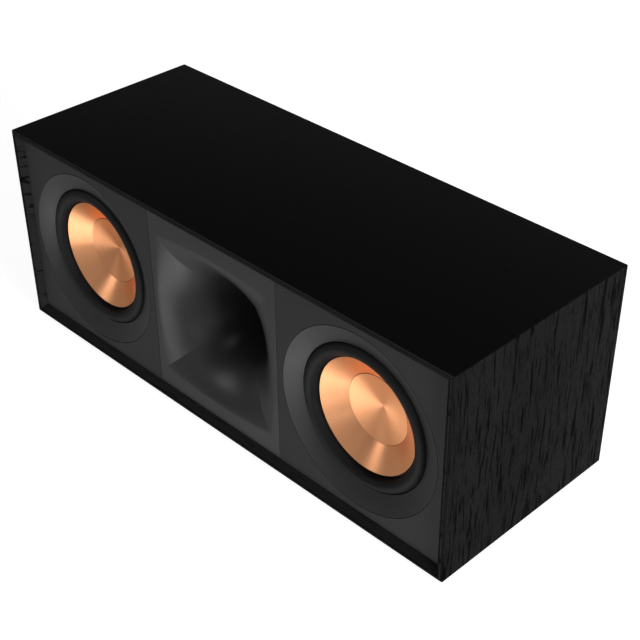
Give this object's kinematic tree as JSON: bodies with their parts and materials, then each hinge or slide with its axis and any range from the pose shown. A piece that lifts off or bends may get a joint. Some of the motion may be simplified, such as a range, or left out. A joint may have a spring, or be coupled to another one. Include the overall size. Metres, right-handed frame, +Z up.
{
  "type": "center channel speaker",
  "caption": "Low wide loudspeaker cabinet with a square flared horn between copper-coloured cone woofers, a rear port and a terminal cup with binding posts.",
  "frame": {"origin": "middle of the footprint, at the underside of the feet", "axes": "+X to the right as seen from the front, +Y to the back, +Z up; the horn and woofers face -Y"},
  "size_m": [0.47, 0.181, 0.1775],
  "materials": {
    "black_ash": "black wood-grain vinyl over fibreboard",
    "baffle_satin": "satin black paint",
    "horn_moulding": "satin black moulded plastic",
    "trim_moulding": "satin black moulded plastic",
    "surround_rubber": "soft black rubber",
    "foot_rubber": "firm black rubber",
    "copper_cone": "spun and copper anodised",
    "fibreboard": "bare fibreboard",
    "frame_paint": "black powder coat",
    "plated_steel": "zinc plated",
    "ferrite": "sintered ferrite",
    "former_film": "amber film",
    "coil_wire": "enamelled copper wire",
    "spider_cloth": "resin-dipped cloth",
    "tag_board": "brown laminate with tinned tabs",
    "screw_zinc": "black zinc",
    "dome_metal": "drawn foil",
    "dome_film": "thin film",
    "cup_plastic": "fine moulded texture",
    "post_metal": "gold flash plating",
    "nut_metal": "nickel plated",
    "knob_red": "red moulded plastic",
    "knob_black": "black moulded plastic",
    "port_plastic": "fine moulded texture",
    "board_green": "coated laminate",
    "nylon": "natural nylon",
    "film_wrap": "wrapped film",
    "cement": "white cement",
    "pad_felt": "polyester batting"
  },
  "bodies": {
    "cabinet": {"bottom_panel": "black_ash", "brace_left": "fibreboard", "brace_right": "fibreboard", "cement_resistor": "cement", "crossover_board": "board_green", "crossover_standoffs": "nylon", "damping_pad": "pad_felt", "film_capacitors": "film_wrap", "front_baffle": "baffle_satin", "horn_panel": "horn_moulding", "left_panel": "black_ash", "port_tube": "port_plastic", "post_nuts": "nut_metal", "post_studs": "post_metal", "rear_panel": "black_ash", "right_panel": "black_ash", "rubber_feet": "foot_rubber", "terminal_cup": "cup_plastic", "terminal_cup_screws": "screw_zinc", "top_panel": "black_ash", "tweeter_carrier": "horn_moulding", "tweeter_inductor": "coil_wire", "tweeter_magnet": "ferrite", "tweeter_screws": "screw_zinc", "tweeter_suspension": "dome_film", "tweeter_top_plate": "plated_steel", "tweeter_yoke": "plated_steel", "woofer_basket_left": "frame_paint", "woofer_basket_right": "frame_paint", "woofer_inductor": "coil_wire", "woofer_magnet_left": "ferrite", "woofer_magnet_right": "ferrite", "woofer_screws": "screw_zinc", "woofer_spider_left": "spider_cloth", "woofer_spider_right": "spider_cloth", "woofer_surround_left": "surround_rubber", "woofer_surround_right": "surround_rubber", "woofer_terminal_strip_left": "tag_board", "woofer_terminal_strip_right": "tag_board", "woofer_top_plate_left": "plated_steel", "woofer_top_plate_right": "plated_steel", "woofer_trim_ring_left": "trim_moulding", "woofer_trim_ring_right": "trim_moulding", "woofer_yoke_left": "plated_steel", "woofer_yoke_right": "plated_steel"},
    "woofer_left": {"woofer_cone_left": "copper_cone", "woofer_dust_cap_left": "copper_cone", "voice_coil_former_left": "former_film", "voice_coil_winding_left": "coil_wire"},
    "woofer_right": {"woofer_cone_right": "copper_cone", "woofer_dust_cap_right": "copper_cone", "voice_coil_former_right": "former_film", "voice_coil_winding_right": "coil_wire"},
    "tweeter": {"tweeter_dome": "dome_metal", "tweeter_voice_coil": "coil_wire"},
    "insert_black": {"post_insert_black": "post_metal"},
    "knob_black": {"post_knob_black": "knob_black"},
    "insert_red": {"post_insert_red": "post_metal"},
    "knob_red": {"post_knob_red": "knob_red"}
  },
  "joints": [
    {"name": "woofer_left_stroke", "type": "slide", "parent": "cabinet", "child": "woofer_left", "axis": [0, -1, 0], "range_m": [-0.004, 0.004], "stiffness_N_per_m": 1100, "deforming": ["woofer_surround_left", "woofer_spider_left"]},
    {"name": "woofer_right_stroke", "type": "slide", "parent": "cabinet", "child": "woofer_right", "axis": [0, -1, 0], "range_m": [-0.004, 0.004], "stiffness_N_per_m": 1100, "deforming": ["woofer_surround_right", "woofer_spider_right"]},
    {"name": "tweeter_stroke", "type": "slide", "parent": "cabinet", "child": "tweeter", "axis": [0, -1, 0], "range_m": [-0.0003, 0.0003], "stiffness_N_per_m": 100, "deforming": ["tweeter_suspension"]},
    {"name": "insert_black_lift", "type": "slide", "parent": "cabinet", "child": "insert_black", "axis": [0, 1, 0], "range_m": [0, 0.004]},
    {"name": "knob_black_turn", "type": "hinge", "parent": "insert_black", "child": "knob_black", "pos_m": [-0.0095, 0.075, 0.09], "axis": [0, 1, 0], "range_deg": [0, 1440]},
    {"name": "insert_red_lift", "type": "slide", "parent": "cabinet", "child": "insert_red", "axis": [0, 1, 0], "range_m": [0, 0.004]},
    {"name": "knob_red_turn", "type": "hinge", "parent": "insert_red", "child": "knob_red", "pos_m": [0.0095, 0.075, 0.09], "axis": [0, 1, 0], "range_deg": [0, 1440]}
  ],
  "couplings": [
    {"joint": "knob_black_turn", "follows": "insert_black_lift", "rad_per_m": 6283.2},
    {"joint": "knob_red_turn", "follows": "insert_red_lift", "rad_per_m": 6283.2}
  ]
}
